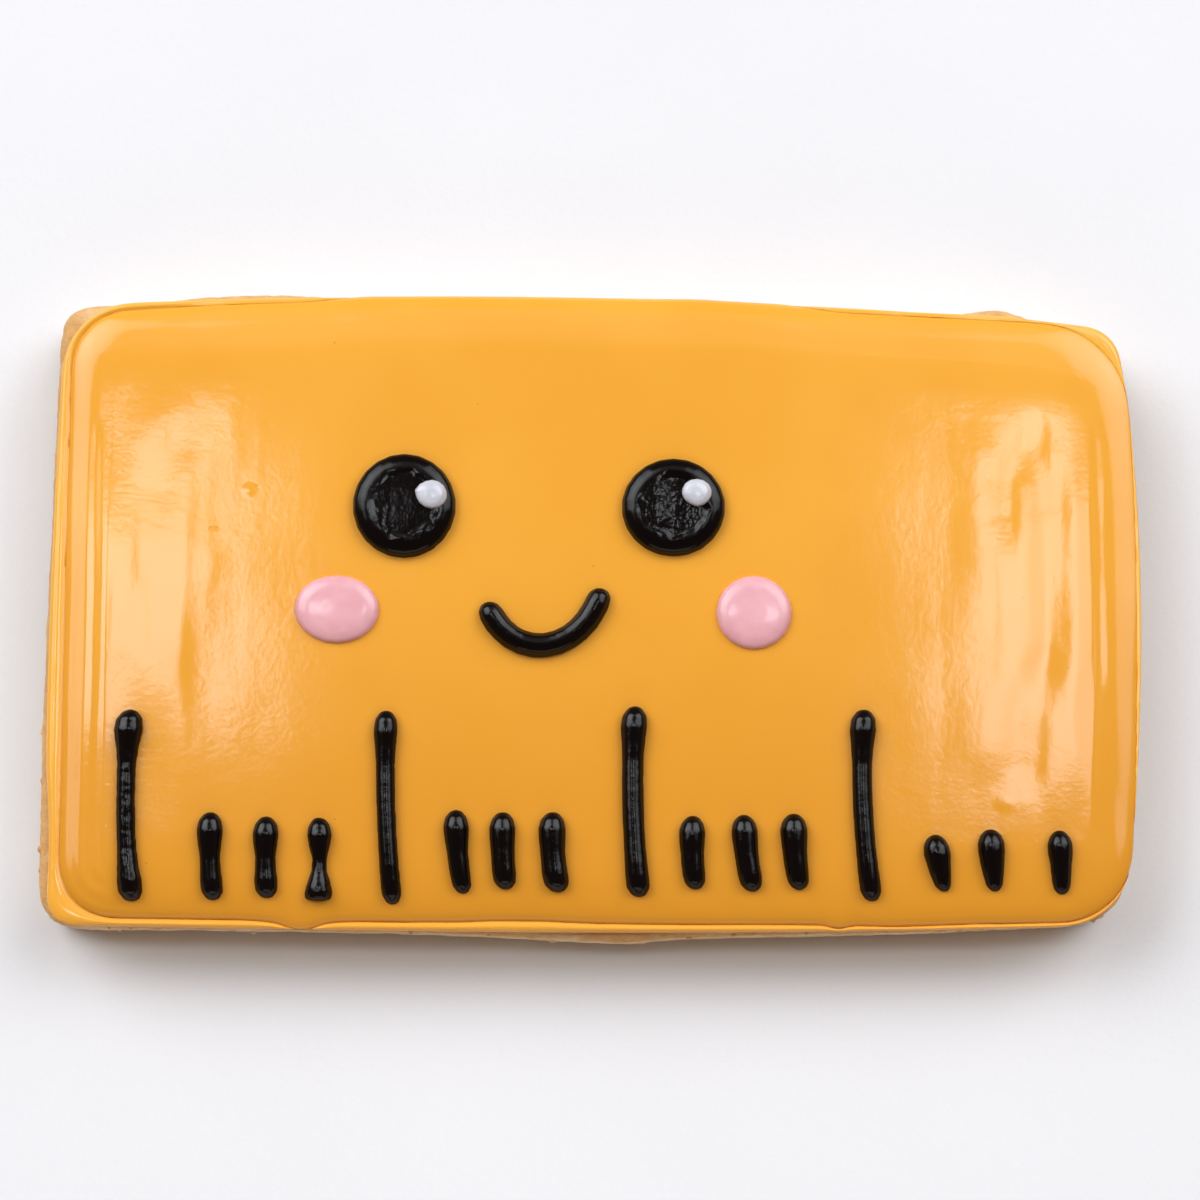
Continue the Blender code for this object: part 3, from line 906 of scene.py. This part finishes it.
    def model_flood(self) -> bpy.types.Object:
        """Pour the flood: a level pool with a rounded shoulder, ripples and strokes."""
        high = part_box("icing_flood")[1]
        flood = ring_sheet("poured_flood", self.pool, (0.2, 0.35, 0.6, 0.85, 1.0, 1.0), high.z, fill=True)
        points = points_of(flood)
        inset = np.maximum(self.pool.inside(points), 0.0)
        points[:, 2] = self.flood_level(points, inset)
        set_points(flood, points)
        with editing(flood):
            bpy.ops.mesh.select_mode(type="VERT")
            mesh = bmesh.from_edit_mesh(flood.data)
            for vert in mesh.verts:
                vert.select_set(inset[vert.index] > 2.2 * MM)
            bmesh.update_edit_mesh(flood.data)
            bpy.ops.mesh.vertices_smooth(factor=0.5, repeat=self.settle, xaxis=False, yaxis=False, zaxis=True)
        points = points_of(flood)
        points[:, 2] += self.relief(points, inset)
        points[:, 2] = np.minimum(points[:, 2], high.z + 0.15 * MM)
        set_points(flood, points)
        with editing(flood):
            select_edges(flood, lambda edge: edge.is_boundary)
            skirt(flood, self.pool, ((0.04, 7.0), (0.3, 6.6), (1.0, 6.45)))
            bpy.ops.mesh.edge_face_add()
            bpy.ops.mesh.select_all(action="SELECT")
            bpy.ops.mesh.normals_make_consistent(inside=False)
        return flood

    def relief(self, points: np.ndarray, inset: np.ndarray) -> np.ndarray:
        """What the flood's surface adds to its plain form, in metres.

        Args:
            points: The surface's points.
            inset: How far each lies in from the flood's edge.

        Returns:
            A height for each point.
        """
        height = np.zeros(len(points))
        for stroke in self.strokes:
            height += stroke.relief(points)
        ends = smooth_step(26.0 * MM, 46.0 * MM, np.abs(points[:, 0]))
        ends *= 1.0 - smooth_step(19.0 * MM, 26.0 * MM, np.abs(points[:, 1]))
        left = smooth_step(-44.0 * MM, -46.0 * MM, points[:, 0]) * smooth_step(20.0 * MM, 14.0 * MM, points[:, 1])
        beat = np.sin(inset / (self.ripple_spacing * MM) * 2.0 * math.pi + 0.9 * wander(points, (30.0, 9.0), 8.0))
        band = smooth_step(0.35 * MM, 1.2 * MM, inset) * (1.0 - smooth_step(3.0 * MM, 5.0 * MM, inset))
        height += self.ripple_height * MM * beat * band * left
        height += 0.07 * MM * ends * wander(points, (4.5, 11.0), 1.0)
        height += 0.02 * MM * ends * wander(points, (1.5, 10.0), 5.0)
        height += 0.02 * MM * wander(points, (9.0, 9.0), 2.0) * smooth_step(0.5 * MM, 3.0 * MM, inset)
        return height


def paint_shade_and_bleed(surface: bpy.types.Object, marks: list[bpy.types.Object], reach: float) -> None:
    """Store on a surface how near each point lies to the marks on it, for the painted contact shade round them, with
    some of their colour bled in.

    Args:
        surface: The icing that the marks lie on.
        marks: The piped marks.
        reach: How far the painted shade and the bled colour reach, in millimetres.
    """
    spots = np.vstack([points_of(mark)[:, :2] for mark in marks])
    tree = KDTree(len(spots))
    for index, spot in enumerate(spots):
        tree.insert((*spot, 0.0), index)
    tree.balance()
    points = points_of(surface)
    gaps = np.array([tree.find((x, y, 0.0))[2] for x, y, _ in points])
    foot_and_painted_shade = 0.35 * np.exp(-((gaps / (reach * MM)) ** 2)) * (points[:, 2] > 7.6 * MM)
    store(surface, foot_and_painted_shade)


def store(obj: bpy.types.Object, values: np.ndarray) -> None:
    """Keep a value for each vertex in the attribute that the finishes read."""
    attribute = obj.data.attributes.new("foot_and_painted_shade", "FLOAT", "POINT")
    attribute.data.foreach_set("value", values.astype(np.float32))


# The marks


@dataclass(frozen=True)
class Piping:
    """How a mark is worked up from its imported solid."""

    node: str
    piece: str
    slot: Slot
    voxel: float = 0.12
    relax: int = 10
    sink: float = 0.5
    lump: float = 0.05
    lump_size: float = 1.1
    swell: float = 0.12  # given back, because smoothing shrinks the mark

    def model(self) -> bpy.types.Object:
        """Let the solid down on to the icing and give it a drop's soft skin."""
        mark = copy_of(self.node, self.piece)
        points = points_of(mark)
        low, high = points[:, 2].min(), points[:, 2].max()
        points[:, 2] -= self.sink * MM * (1.0 - (points[:, 2] - low) / (high - low)) ** 2
        set_points(mark, points)
        finish_with(mark, "REMESH", mode="VOXEL", voxel_size=self.voxel * MM)
        finish_with(mark, "SMOOTH", factor=0.5, iterations=self.relax)
        lumps = bpy.data.textures.new(self.piece + "_lumps", "CLOUDS")
        lumps.noise_scale = self.lump_size * MM
        lumps.noise_depth = 1
        level = 0.5 - self.swell / self.lump
        finish_with(mark, "DISPLACE", texture=lumps, strength=self.lump * MM, mid_level=level)
        return mark


@dataclass(frozen=True)
class Hollow:
    """How the middle of one eye sank as it dried."""

    side: str
    depth: float
    slope: tuple[float, float]  # where it deepens, as a share of the eye's half width
    crinkle: float


@dataclass
class Face:
    """Two eyes with their glints, two cheeks and a smile."""

    rim: tuple[float, float] = (0.56, 0.74)
    hollows: tuple[Hollow, ...] = (
        Hollow("left", 0.16, (-0.56, -0.24), 0.006),
        Hollow("right", 0.36, (-0.42, 0.06), 0.016),
    )

    def make(self, black: bpy.types.Material) -> list[bpy.types.Object]:
        """Model and dress the face.

        Args:
            black: The finish of the smile, as of the ruler's lines.

        Returns:
            Every piece that lies on the flood.
        """
        laid = []
        eye_finish = BlackIcing("eye_icing", crinkle=0.006, crinkle_size=0.22, coat=0.42, coat_roughness=0.13).material()
        white = PaleIcing("glint_icing", (0.54, 0.54, 0.59), (0.49, 0.49, 0.54)).material()
        pink = PaleIcing("cheek_icing", (0.74, 0.375, 0.405), (0.70, 0.335, 0.365)).material()
        for hollow in self.hollows:
            side = hollow.side
            eye = self.model_eye(hollow)
            dress(eye, eye_finish)
            hand_over(eye, Slot.BLACK.value, f"eye_{side}")
            glint = Piping(f"glint_{side}", f"glint_drop_{side}", Slot.WHITE, 0.08, 6, 0.45, 0.04, 0.9, 0.08).model()
            dress(glint, white)
            hand_over(glint, Slot.WHITE.value, f"glint_{side}")
            cheek = Piping(f"cheek_{side}", f"cheek_dot_{side}", Slot.PINK, 0.14, 16, 0.5, 0.03, 2.5, 0.14).model()
            dress(cheek, pink)
            hand_over(cheek, Slot.PINK.value, f"cheek_{side}")
            laid += [eye]
        smile = Piping("smile", "piped_smile", Slot.BLACK, lump=0.05).model()
        stain_foot(smile)
        dress(smile, black)
        hand_over(smile, Slot.BLACK.value, "smile")
        return laid + [smile]

    def model_eye(self, hollow: Hollow) -> bpy.types.Object:
        """An eye with a smooth rim and a sunken, crinkled middle."""
        node = f"eye_{hollow.side}"
        eye = Piping(node, f"eye_dot_{hollow.side}", Slot.BLACK, 0.1, 36, 0.5, 0.03, 2.0, 0.2).model()
        low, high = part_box(node)
        points = points_of(eye)
        centre = (low + high) / 2.0
        reach = (high - low) / 2.0
        across = (points[:, 0] - centre.x) / reach.x
        from_middle = np.hypot(across, (points[:, 1] - centre.y) / reach.y)
        uneven = 0.07 * wander(points, (0.9, 0.9), 11.0)
        sunken = 1.0 - smooth_step(*self.rim, from_middle + uneven)
        upper = smooth_step(low.z, low.z + 0.5 * MM, points[:, 2])
        deep = 0.2 + 0.8 * smooth_step(*hollow.slope, across + uneven)
        crease = np.abs(wander(points, (0.3, 0.45), 4.0)) + 0.5 * np.abs(wander(points, (0.2, 0.2), 9.0))
        points[:, 2] -= hollow.depth * MM * deep * sunken * upper
        points[:, 2] += hollow.crinkle * MM * (crease * 2.4 - 1.0) * sunken * upper
        set_points(eye, points)
        stain_foot(eye)
        return eye


def stain_foot(mark: bpy.types.Object) -> None:
    """Mark the thin foot of a black mark, which shows red-brown."""
    points = points_of(mark)
    store(mark, 1.0 - smooth_step(0.0, 0.55 * MM, points[:, 2] - 8.75 * MM))


@dataclass
class Ruler:
    """The sixteen piped lines along the ruled edge."""

    rough: tuple[str, ...] = ("tick_long_1", "tick_short_3")

    def make(self, black: bpy.types.Material) -> list[bpy.types.Object]:
        """Model and dress every line.

        Args:
            black: Their finish.

        Returns:
            The lines.
        """
        lines = []
        for node in sorted(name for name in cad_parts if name.startswith("tick_")):
            lump = 0.08 if node in self.rough else 0.02
            line = Piping(node, "piped_" + node, Slot.BLACK, relax=14, lump=lump, lump_size=0.9, swell=0.13).model()
            stain_foot(line)
            dress(line, black)
            hand_over(line, Slot.BLACK.value, node)
            lines.append(line)
        return lines


# The studio


@dataclass(frozen=True)
class Panel:
    """One soft light: where it hangs, its size in metres and how bright it looks."""

    name: str
    place: tuple[float, float, float]
    size: tuple[float, float]
    radiance: float
    aim: tuple[float, float, float] = (0.0, 0.0, 0.0)
    spread: float = 180.0
    colour: Colour = (0.955, 1.0, 1.05)

    def hang(self) -> None:
        """Add the light."""
        light = bpy.data.lights.new(self.name, "AREA")
        light.shape = "RECTANGLE"
        light.size, light.size_y = self.size
        light.energy = self.radiance * math.pi * self.size[0] * self.size[1]
        light.color = self.colour
        light.spread = math.radians(self.spread)
        lamp = bpy.data.objects.new(self.name, light)
        lamp.location = self.place
        toward = Vector(self.aim) - Vector(self.place)
        lamp.rotation_euler = toward.to_track_quat("-Z", "Y").to_euler()
        lamp.visible_camera = False
        bpy.context.scene.collection.objects.link(lamp)


@dataclass
class Studio:
    """A pale floor, soft light and the camera of the photograph."""

    elevation: float = 82.0
    distance: float = 0.320
    target: tuple[float, float, float] = (0.00055, 0.0012, 0.0088)
    sensor: float = 36.0
    lens: float = 103.3
    room: tuple[float, float] = (0.23, 0.08)  # how bright the walls and the ceiling look
    panels: tuple[Panel, ...] = (
        Panel("window_left", (-0.94, 0.74, 1.02), (1.42, 1.2), 1.0, spread=70.0),
        Panel("window_right", (0.94, 0.74, 1.02), (1.42, 1.2), 0.8, spread=70.0),
        Panel("window_far", (0.0, 0.96, 1.33), (1.5, 0.9), 0.5),
        Panel("lamp_left", (-0.206, 0.1155, 0.8), (0.188, 0.087), 8.4, (-0.206, 0.1155, 0.0)),
        Panel("lamp_right", (0.151, 0.1075, 0.8), (0.078, 0.115), 8.4, (0.151, 0.1075, 0.0)),
        Panel("lamp_right_dim", (0.25, 0.1075, 0.8), (0.12, 0.115), 5.8, (0.25, 0.1075, 0.0)),
        Panel("wall_near", (0.0, -1.1, 0.4), (1.2, 0.5), 1.2, colour=(1.0, 0.86, 0.7)),
    )

    def make(self) -> None:
        """Set up the floor, the lights, the world and the camera."""
        bpy.ops.object.select_all(action="DESELECT")
        bpy.ops.mesh.primitive_plane_add(size=4.0)
        floor = bpy.context.active_object
        floor.name = floor.data.name = "floor"
        floor.data.materials.append(PaperFloor().material())
        for panel in self.panels:
            panel.hang()
        self.surround()
        view = bpy.context.scene.view_settings
        view.view_transform = "Standard"
        view.look = "None"
        self.place_camera()

    def surround(self) -> None:
        """A dim room, with pale walls and a darker ceiling."""
        world = bpy.data.worlds.new("soft_room")
        world.use_nodes = True
        tree = world.node_tree
        place = tree.nodes.new("ShaderNodeTexCoord")
        split = tree.nodes.new("ShaderNodeSeparateXYZ")
        ramp = tree.nodes.new("ShaderNodeMapRange")
        ramp.inputs["To Min"].default_value, ramp.inputs["To Max"].default_value = self.room
        background = tree.nodes["Background"]
        background.inputs["Color"].default_value = (1.0, 0.8, 0.65, 1.0)
        tree.links.new(place.outputs["Generated"], split.inputs[0])
        tree.links.new(split.outputs["Z"], ramp.inputs["Value"])
        tree.links.new(ramp.outputs["Result"], background.inputs["Strength"])
        bpy.context.scene.world = world

    def place_camera(self) -> None:
        """Look down on the biscuit from the photograph's angle."""
        camera = bpy.data.cameras.new("photo_camera")
        camera.sensor_width = self.sensor
        camera.lens = self.lens
        camera.clip_start = 0.01
        eye = bpy.data.objects.new("photo_camera", camera)
        tilt = math.radians(self.elevation)
        away = Vector((0.0, -math.cos(tilt), math.sin(tilt))) * self.distance
        eye.location = Vector(self.target) + away
        eye.rotation_euler = (math.pi / 2.0 - tilt, 0.0, 0.0)
        bpy.context.scene.collection.objects.link(eye)
        bpy.context.scene.camera = eye


def main() -> None:
    """Build the biscuit's looks in order, then the studio."""
    logging.basicConfig(level=logging.INFO, format="%(name)s: %(message)s")
    Slab().make()
    flood = Icing().make()
    black = BlackIcing("piped_black").material()
    marks = Face().make(black) + Ruler().make(black)
    paint_shade_and_bleed(flood, marks, 0.45)
    Studio().make()


if __name__ == "__main__":
    main()
